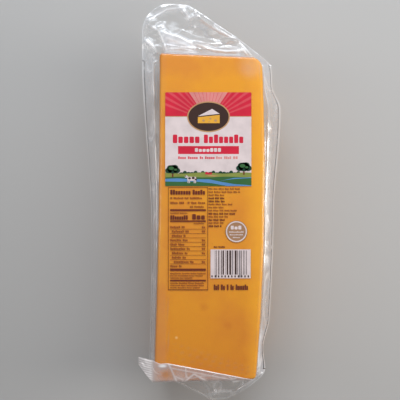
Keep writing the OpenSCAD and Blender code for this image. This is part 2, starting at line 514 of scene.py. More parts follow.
@dataclass(frozen=True)
class FilmFinish:
    """Clear packaging film: it mirrors a little everywhere, more at a slant, and clouds where creased.

    Each of least, slant, cloud and crease is how much of what lies behind is hidden: everywhere, where the
    film is seen edge on, in its haze, and along its creases.
    """

    tint: Colour = (0.80, 0.82, 0.86)
    line: Colour = (0.95, 0.95, 0.96)
    clear: Colour = (0.99, 0.99, 0.988)
    least: float = 0.04
    slant: float = 0.6
    cloud: float = 0.2
    crease: float = 0.6
    roughness: float = 0.12

    def material(self, name: str) -> bpy.types.Material:
        """Mixes the film's material, which reads the attributes haze and crease.

        Args:
            name: The material's name.

        Returns:
            The material.
        """
        n = Nodes(name)
        facing = n.add("ShaderNodeLayerWeight").outputs["Facing"]
        haze, folded = n.attribute("haze"), n.attribute("crease")
        slant = n.maths("MULTIPLY", n.maths("POWER", facing, 4.0), self.slant)
        patchy = n.ranged(n.noise(0.011, 5, (1, 1.6, 1)), 0.3, 0.7, 0.6, 1.3)
        cloud = n.maths("MULTIPLY", n.maths("MULTIPLY", haze, patchy), self.cloud)
        crease = n.maths("MULTIPLY", folded, self.crease)
        share = n.maths("ADD", n.maths("ADD", slant, self.least), n.maths("ADD", cloud, crease), clamped=True)
        clear = n.add("ShaderNodeBsdfTransparent")
        clear.inputs["Color"].default_value = (*self.clear, 1)
        gloss = n.principled(
            Base_Color=n.blend(folded, self.tint, self.line),
            Metallic=n.ranged(haze, 0, 0.4, 0.7, 0.16),
            Roughness=n.ranged(haze, 0, 1, self.roughness, self.roughness + 0.1),
            Normal=n.bump(n.noise(0.004, 3), 0.1, 0.0004),
        )
        mixed = n.add("ShaderNodeMixShader")
        n.wire(share, mixed.inputs[0])
        n.wire(clear.outputs[0], mixed.inputs[1])
        n.wire(gloss, mixed.inputs[2])
        return n.finish(mixed.outputs[0])


class Ink(Enum):
    """Colours of the print."""

    WHITE = (228, 212, 212)
    RED = (214, 34, 62)
    ROSE = (222, 76, 88)
    PINK = (224, 140, 136)
    BROWN = (112, 48, 28)
    RUST = (156, 84, 32)
    DARK = (62, 40, 34)
    TAN = (196, 150, 104)
    TAUPE = (170, 128, 96)
    GREY = (150, 140, 142)
    LEAF = (56, 104, 58)
    DARK_LEAF = (26, 66, 48)
    GRASS = (138, 147, 72)
    WATER = (92, 144, 200)
    CHEESE = (238, 174, 60)


@dataclass(frozen=True)
class InkFinish:
    """Printed ink under the film's gloss, a little uneven in strength."""

    ink: Ink

    def material(self) -> bpy.types.Material:
        """Mixes the ink's material.

        Returns:
            The material.
        """
        n = Nodes(f"ink_{self.ink.name.lower()}")
        base = linear(*self.ink.value)
        worn = tuple(c * 0.86 for c in base)
        colour = n.blend(n.ranged(n.noise(0.009, 4), 0.35, 0.7, 0, 1), base, worn)
        shader = n.principled(
            Base_Color=colour, Roughness=0.3, Normal=n.bump(n.noise(0.011, 2), 0.1, 0.0004),
            Coat_Weight=0.4, Coat_Roughness=0.12,
        )
        return n.finish(shader)


# ---- the loaf and the film's outline ----


@dataclass(frozen=True)
class LoafForm:
    """Plan and heights of the loaf and of its film, from the cheese's node."""

    lean: float = 5 * MM
    left_bow: float = 1.5 * MM
    right_bow: float = 4.8 * MM
    head_skew: float = 3.8 * MM
    foot_skew: float = 2 * MM
    edge_round: float = 2.4 * MM
    corner_round: float = 3 * MM
    worn_round: float = 10 * MM
    film_gap: float = 0.45 * MM
    fin_level: float = 46 * MM
    left_fin: Pair = (6.5 * MM, 18 * MM)
    right_fin: Pair = (12 * MM, 18.5 * MM)
    right_pinch: float = 4 * MM
    box: tuple[Vector, Vector] = field(default_factory=lambda: tuple(map(Vector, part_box("cheese"))))

    @property
    def foot_y(self) -> float:
        """Y of the foot face at the -X side."""
        return self.box[0].y

    @property
    def head_y(self) -> float:
        """Y of the head face at the -X side."""
        return self.box[1].y

    @property
    def half_width(self) -> float:
        """Half the loaf's width at its ends, so that the +X bow reaches the node's box."""
        shares = [i / 50 for i in range(51)]
        return self.box[1].x - max(self.lean * (s - 0.5) + self.right_bow * 4 * s * (1 - s) for s in shares)

    def share(self, y: float) -> float:
        """Share of the way from foot to head."""
        return clamp((y - self.foot_y) / (self.head_y - self.foot_y))

    def left(self, y: float) -> float:
        """X of the -X side at y."""
        s = self.share(y)
        return self.lean * (s - 0.5) - self.half_width + self.left_bow * 4 * s * (1 - s)

    def right(self, y: float) -> float:
        """X of the +X side at y."""
        s = self.share(y)
        return self.lean * (s - 0.5) + self.half_width + self.right_bow * 4 * s * (1 - s)

    def across(self, x: float) -> float:
        """Share of the way from the -X to the +X side."""
        return clamp((x + self.half_width) / (2 * self.half_width))

    def head_face(self, x: float) -> float:
        """Y of the head face at x."""
        return self.head_y - self.head_skew * self.across(x)

    def foot_face(self, x: float) -> float:
        """Y of the foot face at x."""
        return self.foot_y + self.foot_skew * self.across(x)

    def left_reach(self, y: float) -> float:
        """Reach of the -X fin at y, which widens towards the head."""
        s = self.share(y)
        return mix(*self.left_fin, 0.26 * s + 0.74 * ease((s - 0.4) / 0.6))

    def right_reach(self, y: float) -> float:
        """Finds the reach of the +X fin, with its small ear near the head and a pinch beside the foot seal.

        Args:
            y: Place along the loaf.

        Returns:
            The reach.
        """
        s = self.share(y)
        narrow, wide = self.right_fin
        widening = ease((s - 0.52) / 0.34) - ease((s - 0.86) / 0.07)
        return mix(narrow, wide, widening) - self.right_pinch * (1 - ease(abs(s - 0.075) / 0.09))


class End(Enum):
    """The two ends of the loaf, with the sign of Y that leads out of each."""

    HEAD = 1
    FOOT = -1


@dataclass(frozen=True)
class FinLook:
    """A fin's seal line and how its film looks; the second number of a pair is for the foot end.

    The seal is at a share of the fin's reach. Cloud is how hazy the film is outside it, foot_cloud how many
    times hazier it is at the foot, crease how white the seal line is, and pressed how white the film beside
    the loaf is at the foot.
    """

    seal: float
    line: Pair
    cloud: float
    foot_cloud: float
    crease: Pair
    pressed: float


LEFT_FIN = FinLook(0.42, (0.055, 0.055), 0.95, 1.0, (0.9, 0.9), 0.0)
RIGHT_FIN = FinLook(0.37, (0.075, 0.15), 1.25, 2.6, (0.95, 1.3), 0.45)


@dataclass(frozen=True)
class Fold:
    """A crease in an ear, through points given as (x, distance past the end face), in mm.

    It lifts the film by height, fading over width, and whitens a thin line along it. A glow brings the
    film for that distance on both sides to the fold's own brightness, cloudier or clearer than the rest;
    the brightest glow, on the head ear, is a painted highlight of a facet that catches the head lamp.
    """

    points: tuple[Pair, ...]
    height: float
    width: float
    white: float = 0.0
    glow: float = 0.0
    brightness: float = 1.6

    def nearest(self, x: float, out: float) -> Pair:
        """Finds where the crease is nearest.

        Args:
            x: X of a point of the ear, in mm.
            out: How far past the end face it is, in mm.

        Returns:
            The distance to the crease, and the share of its length there.
        """
        best, place = 1e9, 0.0
        last = len(self.points) - 1
        for i in range(last):
            away, along = to_line(x, out, self.points[i], self.points[i + 1])
            if away < best:
                best, place = away, (i + along) / last
        return best, place


@dataclass(frozen=True)
class Ear:
    """Film past one end of the loaf: its outline, how fast the two sheets meet, and its creases."""

    end: End
    reach: float
    tip: Pair
    bends: Pair
    collapse: float
    haze: float
    folds: tuple[Fold, ...]

    def edges(self, form: LoafForm, out: float) -> Pair:
        """Finds the film's two edges past the end face.

        Args:
            form: The loaf.
            out: How far past the end face.

        Returns:
            X of the film's -X and +X edges.
        """
        y = form.head_y if self.end is End.HEAD else form.foot_y
        first, last = form.left(y) - form.left_reach(y), form.right(y) + form.right_reach(y)
        u = clamp(out / self.reach)
        if self.end is End.HEAD:
            v = clamp(2 * u - 1)
            left_share = 1 - math.sqrt(1 - v * v)
        else:
            left_share = u ** self.bends[0]
        return mix(first, self.tip[0], left_share), mix(last, self.tip[1], u ** self.bends[1])

    def relief(self, x: float, out: float, cloud: float) -> Trio:
        """What the creases do at a point.

        Args:
            x: X of the point.
            out: How far past the end face it is.
            cloud: The film's cloudiness there without creases.

        Returns:
            Lift, whiteness and cloudiness.
        """
        lift, white = 0.0, 0.0
        for fold in self.folds:
            away, along = fold.nearest(x / MM, out / MM)
            taper = min(1.0, 6 * along + 0.3, 6 * (1 - along) + 0.3)
            lift += fold.height * MM * clamp(1 - away / fold.width) * taper
            white = max(white, fold.white * clamp(1.15 - away / 1.1) * taper)
            if fold.glow:
                cloud = mix(cloud, fold.brightness, ease(1.3 - away / fold.glow))
        return lift, white, cloud


HEAD_EAR = Ear(
    End.HEAD, 52 * MM, (-32.5 * MM, -17.5 * MM), (1, 1.15), 15 * MM, 0.4,
    (
        Fold(((-56, 36), (-48, 39.5), (-36.6, 46.4), (-18.5, 50)), 1.8, 7, 0.8),
        Fold(((-56, 35), (-48.7, 30), (-43.5, 26.6), (-39.2, 16.4), (-36.6, 9)), 3.0, 9, 0.6),
        Fold(((-57, 20), (-52, 16.4), (-47, 11), (-44.3, 5)), 2.4, 8, 0.9),
        Fold(((-55.5, 19), (-51, 15)), 0.4, 4, 0.6, 2.2, 2.6),
        Fold(((-41.8, 26), (-24, 22), (-11.6, 15.5)), 2.6, 8, 0.6, 3),
        # painted highlight: the bright facet that faces the head lamp, painted as film cloud
        Fold(((-37, 21), (-26, 17.5), (-14, 13)), 0.8, 5, 0.3, 6, 4.2),
        Fold(((-52, 40), (-40, 44), (-24, 48.5)), -0.8, 5, 0.0, 3, 1.2),
        Fold(((-36, 11), (-22, 12), (-12, 9)), 1.6, 6, 0.5, 4, 1.5),
        Fold(((-11.6, 17), (5.6, 12.6), (16.8, 10.8), (33, 12.6), (37, 7)), 2.4, 7, 1.0, 2.5),
        Fold(((-13.3, 20), (0, 18), (12.5, 18), (26.3, 21)), 1.6, 5, 0.5),
        Fold(((-4, 16.5), (10, 15.4), (24, 19)), -1.0, 4, 0.35),
        Fold(((-9.9, 44), (-4.7, 38.7), (10.8, 29.2), (21.2, 24.1), (28, 22)), 2.2, 6, 0.9),
        Fold(((-8, 38), (4, 31), (18, 23.6)), -1.2, 4, 0.3),
        Fold(((-11, 50), (-9.9, 44)), 1.2, 4, 0.8),
        Fold(((-22, 47), (-16, 40), (-12, 43)), 1.0, 4, 0.5, 3),
        Fold(((-46, 30), (-40, 33), (-38, 29)), 1.0, 4, 0.5, 2.5),
        Fold(((-34, 40), (-20, 31), (-10, 30)), -1.4, 12, 0.0, 5, 0.15),
        Fold(((-6, 30), (6, 24), (20, 19)), -0.8, 6, 0.0, 4, 0.1),
        Fold(((-46, 22), (-44, 14)), -0.6, 5, 0.0, 3.5, 0.12),
        Fold(((-8, 12), (10, 8), (26, 8)), -0.5, 4, 0.0, 2.5, 0.12),
        Fold(((8, 5), (4, 26)), -1.4, 9),
        Fold(((46, 0), (39, 9), (28, 21)), 1.6, 6, 0.7),
        # painted highlight: the white glint where the film bends over the head edge
        Fold(((-40, 5), (-30, 7), (0, 6.4), (34, 5.6), (40, 3)), 0.8, 4, 0.8),
    ),
)

FOOT_EAR = Ear(
    End.FOOT, 27 * MM, (3.5 * MM, 16.5 * MM), (0.85, 1.7), 9 * MM, 0.35,
    (
        Fold(((-30, 8), (-14, 17), (4, 25)), 1.4, 6, 0.6),
        Fold(((-20, 3), (-8, 9), (10, 20)), -1.2, 7, 0.1),
        Fold(((0, 3), (12, 25)), 1.4, 7, 0.35),
        Fold(((18, 6), (24, 11), (31, 9)), 1.2, 5, 0.6, 1.5),
        Fold(((4, 22), (12, 19), (22, 20)), 1.0, 4, 0.55, 2),
        Fold(((40, 2), (24, 20)), -1.4, 7, 0.1),
        Fold(((50, 2), (42, 9), (20, 24)), 1.4, 5, 0.6),
    ),
)


# ---- the cheese ----


@dataclass
class CheeseLoaf:
    """The loaf: a bevelled block, leaning and bowed, with one worn corner and a slightly uneven skin."""

    form: LoafForm
    cuts: tuple[int, int, int] = (10, 40, 10)
    uneven: float = 0.3 * MM
    name: str = "cheese_loaf"

    def build(self) -> bpy.types.Object:
        """Models the loaf.

        Returns:
            The finished object, at the origin.
        """
        low, high = self.form.box
        bpy.ops.object.select_all(action="DESELECT")
        bpy.ops.mesh.primitive_cube_add(size=1, location=(low + high) / 2, scale=high - low)
        loaf = bpy.context.object
        loaf.name = loaf.data.name = self.name
        settle(loaf)
        self.square_up(loaf)
        self.round_edges(loaf)
        self.slice(loaf)
        self.bow(loaf)
        select_only(loaf)
        bpy.ops.object.shade_smooth_by_angle(angle=math.radians(50))
        return loaf

    def square_up(self, loaf: bpy.types.Object) -> None:
        """Moves the block's upright corners to the loaf's leaning plan.

        Args:
            loaf: The block.
        """
        form = self.form
        for v in loaf.data.vertices:
            y = form.head_y if v.co.y > 0 else form.foot_y
            x = form.left(y) if v.co.x < 0 else form.right(y)
            v.co.x, v.co.y = x, form.head_face(x) if v.co.y > 0 else form.foot_face(x)

    def round_edges(self, loaf: bpy.types.Object) -> None:
        """Bevels the worn corner, then the other uprights, then every edge of the top and the underside.

        Args:
            loaf: The block.
        """
        form = self.form
        for radius, steps, wanted in (
            (form.worn_round, 8, lambda a, b: self.upright(a, b) and a.x > 0 and a.y > 0),
            (form.corner_round, 5, lambda a, b: self.upright(a, b) and not (a.x > 0 and a.y > 0)),
            (form.edge_round, 5, lambda a, b: abs(a.z - b.z) < 1e-5 and self.at_face(a.z)),
        ):
            with editing(loaf) as mesh:
                for edge in mesh.edges:
                    a, b = (v.co for v in edge.verts)
                    if wanted(a, b) and edge.link_faces[0].normal.dot(edge.link_faces[1].normal) < 0.3:
                        edge.select_set(True)
                bpy.ops.mesh.bevel(offset=radius, segments=steps, affect="EDGES", clamp_overlap=True)

    def at_face(self, z: float) -> bool:
        """True on the plane of the top or the underside."""
        return min(abs(z - self.form.box[0].z), abs(z - self.form.box[1].z)) < 1e-5

    @staticmethod
    def upright(a: Vector, b: Vector) -> bool:
        """True for an edge that runs from the underside to the top."""
        return abs(a.z - b.z) > 0.05 and math.hypot(a.x - b.x, a.y - b.y) < 1e-5

    def slice(self, loaf: bpy.types.Object) -> None:
        """Cuts the faces across so that they can bow.

        Args:
            loaf: The block.
        """
        low, high = self.form.box
        with editing(loaf):
            for axis, count in enumerate(self.cuts):
                normal = Vector([float(i == axis) for i in range(3)])
                for i in range(1, count):
                    bpy.ops.mesh.select_all(action="SELECT")
                    bpy.ops.mesh.bisect(plane_co=low.lerp(high, i / count), plane_no=normal)

    def bow(self, loaf: bpy.types.Object) -> None:
        """Bows the long sides and lets the skin sink a little here and there.

        Args:
            loaf: The sliced block.
        """
        form = self.form
        centre = (form.box[0] + form.box[1]) / 2
        for v in loaf.data.vertices:
            s = form.share(v.co.y)
            bulge = 4 * s * (1 - s)
            across = form.across(v.co.x - form.lean * (s - 0.5))
            v.co.x += mix(form.left_bow, form.right_bow, across) * bulge
            deep = self.uneven * clamp(0.5 + noise.noise(v.co / 0.035) + 0.4 * noise.noise(v.co / 0.011))
            v.co -= (v.co - centre).normalized() * deep

    def dress(self, loaf: bpy.types.Object) -> None:
        """Gives the loaf its finish and puts it in the place of its node."""
        ride(loaf, CheeseFinish().material())
        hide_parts("cheese")


# ---- the film ----


@dataclass
class Lattice:
    """A grid of points that is placed point by point, with numbers stored on each."""

    name: str
    columns: int
    rows: int

    def build(self, place: Callable[[int, int], FilmPoint]) -> bpy.types.Object:
        """Models the sheet.

        Args:
            place: Gives a point's place, haze and crease from its column and row.

        Returns:
            The sheet, at the origin.
        """
        bpy.ops.object.select_all(action="DESELECT")
        bpy.ops.mesh.primitive_grid_add(x_subdivisions=self.columns, y_subdivisions=self.rows, size=1)
        sheet = bpy.context.object
        sheet.name = sheet.data.name = self.name
        haze = sheet.data.attributes.new("haze", "FLOAT", "POINT")
        crease = sheet.data.attributes.new("crease", "FLOAT", "POINT")
        for v in sheet.data.vertices:
            column, row = round((v.co.x + 0.5) * self.columns), round((v.co.y + 0.5) * self.rows)
            v.co, haze.data[v.index].value, crease.data[v.index].value = place(column, row)
        return sheet


def sealed_sheets(
    name: str, columns: int, rows: int, place: Callable[[int, int, int], FilmPoint]
) -> bpy.types.Object:
    """Two sheets that meet all round, as one closed piece.

    Args:
        name: The piece's name.
        columns: Columns of each sheet.
        rows: Rows of each sheet.
        place: Gives place, haze and crease from column, row and 1 for the upper sheet or -1.

    Returns:
        The piece, smooth shaded.
    """
    sheets = [
        Lattice(f"{name}_{word}", columns, rows).build(lambda c, r, up=up: place(c, r, up))
        for word, up in (("upper", 1), ("lower", -1))
    ]
    with editing(sheets[1]):
        bpy.ops.mesh.select_all(action="SELECT")
        bpy.ops.mesh.flip_normals()
    piece = join(sheets, name)
    with editing(piece):
        bpy.ops.mesh.select_all(action="SELECT")
        bpy.ops.mesh.remove_doubles(threshold=1e-6)
    select_only(piece)
    bpy.ops.object.shade_smooth_by_angle(angle=math.radians(75))
    return piece


@dataclass
class FilmPouch:
    """The film: an upper and a lower sheet that hug the loaf and are sealed to each other all round.

    The slants are faint folds across the face near the foot: y at the -X side and at the +X side, in mm,
    and how white each is. The cloudy corner is x, y and radius in mm. The drags start at distances from
    the fin's level and from the ends.
    """

    form: LoafForm
    wave_start: float = 3.7
    wave_size: float = 50 * MM
    wave_height: float = 2.4 * MM
    small_wave_height: float = 1.1 * MM
    sag: float = 0.1 * MM
    foot_zone: Pair = (-85 * MM, 30 * MM)
    fin_columns: int = 18
    wall_columns: int = 10
    arc_columns: int = 5
    top_columns: int = 66
    ear_rows: tuple[int, int] = (34, 84)
    end_rows: int = 11
    middle_rows: int = 130
    end_length: float = 13 * MM
    root: float = 3 * MM
    flat_depth: float = 0.25 * MM
    edge_depth: float = 2.6 * MM
    calm_length: float = 12 * MM
    drag_reach: Pair = (34 * MM, 60 * MM)
    left_crease_mm: float = -34.2
    right_crease_mm: float = 2.6
    cloudy_corner: Spot = (36, 127, 15)
    slants: tuple[Trio, ...] = ((-112, -131, 0.16), (-106, -128, 0.12), (-118, -134, 0.1))
    name: str = "film"

    @property
    def columns(self) -> int:
        """Columns of each sheet."""
        return 2 * (self.fin_columns + self.wall_columns + self.arc_columns) + self.top_columns

    @property
    def loaf_rows(self) -> int:
        """Rows of each sheet along the loaf."""
        return 2 * self.end_rows + self.middle_rows

    def build(self) -> bpy.types.Object:
        """Models the film.

        Returns:
            One closed object, at the origin.
        """
        rows = sum(self.ear_rows) + self.loaf_rows
        return sealed_sheets(self.name, self.columns, rows, self.point)

    def station(self, row: int) -> tuple[Ear | None, float]:
        """Finds where a row lies.

        Args:
            row: Row of the sheet.

        Returns:
            The ear that it is in and the distance past the end face, or None and y along the loaf.
        """
        foot_rows, head_rows = self.ear_rows
        if row < foot_rows:
            return FOOT_EAR, FOOT_EAR.reach * (1 - row / foot_rows)
        row -= foot_rows
        if row > self.loaf_rows:
            return HEAD_EAR, HEAD_EAR.reach * (row - self.loaf_rows) / head_rows
        form = self.form
        if row < self.end_rows:
            return None, form.foot_y + self.end_length * (row / self.end_rows) ** 1.6
        if row > self.loaf_rows - self.end_rows:
            return None, form.head_y - self.end_length * ((self.loaf_rows - row) / self.end_rows) ** 1.6
        s = (row - self.end_rows) / self.middle_rows
        return None, mix(form.foot_y + self.end_length, form.head_y - self.end_length, s)

    def wall(self, y: float, side: int) -> float:
        """Finds the film's upright wall, which follows the loaf's rounded upright edges.

        Args:
            y: Place along the loaf.
            side: 1 for the +X side and -1 for the -X side.

        Returns:
            X of the wall.
        """
        form = self.form
        gap = form.film_gap
        corner = form.worn_round if side > 0 else form.corner_round
        back = max(
            inset(max(form.head_y - y, 0), corner + gap),
            inset(max(y - form.foot_y, 0), form.corner_round + gap),
        )
        return (form.right(y) if side > 0 else form.left(y)) + side * (gap - back)

    def section(self, column: int, y: float, up: int) -> Trio:
        """Finds a point of the section round the loaf.

        Args:
            column: Column of the sheet.
            y: Place along the loaf.
            up: 1 for the upper sheet and -1 for the lower.

        Returns:
            X, Z and how far out on a fin the point is, from 0 at its root to 1 at its edge.
        """
        form = self.form
        gap = form.film_gap
        side = 1 if column > self.columns / 2 else -1
        from_edge = self.columns - column if side > 0 else column
        wall = self.wall(y, side)
        bend = form.edge_round + gap
        face = form.box[1].z + gap if up > 0 else form.box[0].z - gap
        level = face - up * inset(max(min(form.head_y - y, y - form.foot_y), 0), bend)
        if from_edge <= self.fin_columns:
            out = 1 - from_edge / self.fin_columns
            reach = form.right_reach(y) if side > 0 else form.left_reach(y)
            edge = (form.right(y) if side > 0 else form.left(y)) + side * reach
            thick = self.root * (1 - ease(out * 1.15)) ** 1.6
            return mix(wall, edge, out), form.fin_level + up * thick, out
        from_edge -= self.fin_columns
        if from_edge <= self.wall_columns:
            rise = from_edge / self.wall_columns
            return wall, mix(form.fin_level + up * self.root, level - up * bend, rise), 0.0
        from_edge -= self.wall_columns
        if from_edge <= self.arc_columns:
            turn = math.pi / 2 * from_edge / self.arc_columns
            return wall - side * bend * (1 - math.cos(turn)), level - up * bend * (1 - math.sin(turn)), 0.0
        share = (column - self.fin_columns - self.wall_columns - self.arc_columns) / self.top_columns
        return mix(self.wall(y, -1) + bend, self.wall(y, 1) - bend, share), level, 0.0

    def point(self, column: int, row: int, up: int) -> FilmPoint:
        """Finds one point of a sheet.

        Args:
            column: Column of the sheet.
            row: Row of the sheet.
            up: 1 for the upper sheet and -1 for the lower.

        Returns:
            Its place, haze and crease.
        """
        ear, along = self.station(row)
        if ear is None:
            return self.loaf_point(column, along, up)
        return self.ear_point(ear, column, along, up)

    def loaf_point(self, column: int, y: float, up: int) -> FilmPoint:
        """Finds a point beside, over or under the loaf.

        Args:
            column: Column of the sheet.
            y: Place along the loaf, before its ends are skewed.
            up: 1 for the upper sheet and -1 for the lower.

        Returns:
            Its place, haze and crease.
        """
        form = self.form
        x, z, out = self.section(column, y, up)
        skew = mix(form.foot_skew, -form.head_skew, form.share(y)) * form.across(x)
        place = Vector((x, y + skew, z))
        if out > 0:
            place.z += self.ripple(place, out)
            return self.fin_look(place, out)
        centre = Vector((0, place.y, (form.box[0].z + form.box[1].z) / 2))
        place -= (place - centre).normalized() * self.sag * Wrinkle.SLACK.at(place)
        top = form.box[1].z
        if up > 0 and z >= top - self.flat_depth:
            return self.face_look(place)
        if up > 0 and z > top - self.edge_depth:
            return self.edge_look(place)
        return self.side_look(place)

    def fin_look(self, place: Vector, out: float) -> FilmPoint:
        """Adds a fin's seal line, haze and wrinkles.

        Args:
            place: Where the point is.
            out: How far out on the fin it is, from 0 to 1.

        Returns:
            Its place on the raised seal line, haze and crease.
        """
        look = LEFT_FIN if place.x < 0 else RIGHT_FIN
        start, length = self.foot_zone
        low = ease((start - place.y) / length)
        line = clamp(1.2 - abs(out - look.seal) / mix(*look.line, low))
        place.z += 0.5 * MM * line
        streak = Vector((place.x * 2.2, place.y * 0.45, 0))
        outside = mix(0.12, look.cloud, ease((out - look.seal) / 0.1))
        haze = outside * (0.7 + 0.6 * Wrinkle.FIN_CLOUDS.at(streak)) * mix(1, look.foot_cloud, low)
        seal = mix(*look.crease, low) * line * (0.5 + 0.7 * Wrinkle.SEAL_BREAKS.at(place))
        second = 0.9 * clamp(1 - abs(out - look.seal * 0.55) / 0.06) * Wrinkle.SECOND_BREAKS.at(place)
        fine = clamp(1 - mix(9, 4, low) * Wrinkle.VEINS.at(streak))
        veins = mix(0.6, 1.0, low) * fine * ease(out * 2)
        pressed = look.pressed * low * clamp(1.6 - out / 0.45)
        rim = 0.75 * clamp((out - 0.86) / 0.12)
        return place, haze, clamp(max(seal, second, veins, pressed, rim))

    def edge_look(self, place: Vector) -> FilmPoint:
        """Paints a highlight on the film over the upper face's rounded edges as whiteness, strongest at the
        head.
        """
        # painted highlight: whiteness along the rounded edges, strongest where the film bends over the head
        # edge
        head = clamp(1.2 - (self.form.head_face(place.x) - place.y) / (2.4 * MM))
        return place, 0.05, clamp(max(0.5 * Wrinkle.EDGE_BREAKS.at(place), 1.5 * head))

    def side_look(self, place: Vector) -> FilmPoint:
        """Drags the film into folds down the loaf's sides, which run to the fins and the ends, and whitens
        them as a painted sheen.

        Args:
            place: Where the point is.

        Returns:
            Its place on the fold, haze and crease.
        """
        form = self.form
        from_fin, from_end = self.drag_reach
        to_fin = 1 - clamp(abs(place.z - form.fin_level) / from_fin)
        to_end = 1 - clamp(min(place.y - form.foot_y, form.head_y - place.y) / from_end)
        pull = Vector((0, place.y + 0.35 * place.z, 0.22 * place.z))
        drag = clamp(1 - 7 * Wrinkle.DRAGS.at(pull)) * mix(to_fin, 1, 0.5 * to_end)
        place += Vector((1 if place.x > 0 else -1, 0, 0)) * 0.25 * MM * drag
        # the haze and crease of the drags are a painted sheen on the folds, which are also lifted a little
        return place, 0.12 + 0.2 * drag, 0.45 * drag

    def face_look(self, place: Vector) -> FilmPoint:
        """Adds the faint slack folds over the printed face, and a cloudy place by the worn corner.

        Args:
            place: Where the point is.

        Returns:
            Its place, haze and crease.
        """
        x, y = place.x / MM, place.y / MM
        left, (cloud_x, cloud_y, cloud_radius) = self.left_crease_mm, self.cloudy_corner
        to_foot = ease((-40 - y) / 50)
        haze = 0.2 * clamp((left - x) / 1.2) * (0.45 + 0.55 * to_foot)
        haze += 0.7 * ease(1 - math.hypot(x - cloud_x, y - cloud_y) / cloud_radius)
        crease = 0.22 * clamp(1 - abs(x - left + 0.01 * y) / 0.7) * to_foot
        for left_y, right_y, white in self.slants:
            slant = mix(left_y, right_y, clamp((x + 30) / 68))
            crease = max(crease, white * clamp(1 - abs(y - slant) / 0.8) * ease((x + 34) / 12))
        from_side = self.form.right(place.y) / MM - x
        beside = clamp(1 - abs(from_side - self.right_crease_mm) / 0.9)
        along_side = 0.22 * beside * Wrinkle.RIM_BREAKS.at(place)
        return place, haze, max(crease, along_side)

    def ripple(self, place: Vector, out: float) -> float:
        """Works out a fin's waves, growing towards its free edge and calm where it runs into the ears.

        Args:
            place: Where the point is.
            out: How far out on the fin it is, from 0 to 1.

        Returns:
            How far it is lifted.
        """
        form = self.form
        here = Vector((place.x * 0.5, place.y, 0))
        waves = self.wave_height * noise.noise(here / self.wave_size + Vector((self.wave_start, 0, 0)))
        waves += self.small_wave_height * (Wrinkle.FIN_WAVES.at(here) - 0.4)
        return waves * out * ease(min(place.y - form.foot_y, form.head_y - place.y) / self.calm_length)

    def ear_point(self, ear: Ear, column: int, out: float, up: int) -> FilmPoint:
        """Finds a point of the film past an end face, where the two sheets close on each other.

        Args:
            ear: The ear.
            column: Column of the sheet.
            out: How far past the end face the row starts.
            up: 1 for the upper sheet and -1 for the lower.

        Returns:
            Its place, haze and crease.
        """
        form = self.form
        at_head = ear.end is End.HEAD
        root_x, root_z, fin_out = self.section(column, form.head_y if at_head else form.foot_y, up)
        first, last = ear.edges(form, out)
        root_first, root_last = ear.edges(form, 0)
        away = ease(out / ear.collapse)
        across = mix((root_x - root_first) / (root_last - root_first), column / self.columns, away)
        closed = 1 - (1 - clamp(out / ear.collapse)) ** 2
        x = mix(first, last, across) if fin_out > 0 else mix(root_x, mix(first, last, across), closed)
        y = form.head_face(x) + out if at_head else form.foot_face(x) - out
        place = Vector((x, y, root_z))
        haze, crease = 0.2, 0.0
        if fin_out > 0:
            place, haze, crease = self.fin_look(place, fin_out)
        flat = Vector((x, y, 0))
        edge = min(x - first, last - x, ear.reach - out)
        calm = ease(out / (0.7 * ear.collapse))
        haze = mix(haze, ear.haze * (0.6 + 0.6 * Wrinkle.EAR_CLOUDS.at(flat)), away)
        lift, white, cloud = ear.relief(x, out, haze)
        seen = 1.0 if up > 0 else closed ** 4
        white *= seen * mix(0.45 + 0.7 * Wrinkle.FOLD_BREAKS.at(place), 1, closed ** 2)
        puff = (0.3 + 0.6 * Wrinkle.EAR_PUFFS.at(flat)) * MM * ease(edge / (7 * MM)) * closed
        place.z = mix(place.z, form.fin_level + up * puff, closed) + (lift + self.crumple(flat)) * calm
        veins = 0.5 * clamp(1 - 11 * Wrinkle.VEINS.at(flat)) * away
        rim = 0.8 * clamp(1.2 - edge / (1.3 * MM)) * ease(out / (0.2 * ear.collapse))
        crease = clamp(max(white * max(calm, 0.7), rim, veins, crease * (1 - closed)))
        return place, mix(haze, cloud, seen), crease

    @staticmethod
    def crumple(flat: Vector) -> float:
        """Height of the broad irregular facets of creased film."""
        return (1.3 * Wrinkle.FACETS.at(flat) + 0.3 * Wrinkle.SMALL_FACETS.at(flat) - 0.8) * MM

    def dress(self, film: bpy.types.Object) -> None:
        """Gives the film its finish and puts it in the place of its node."""
        ride(film, FilmFinish().material("clear_film"))
        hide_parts("pouch")


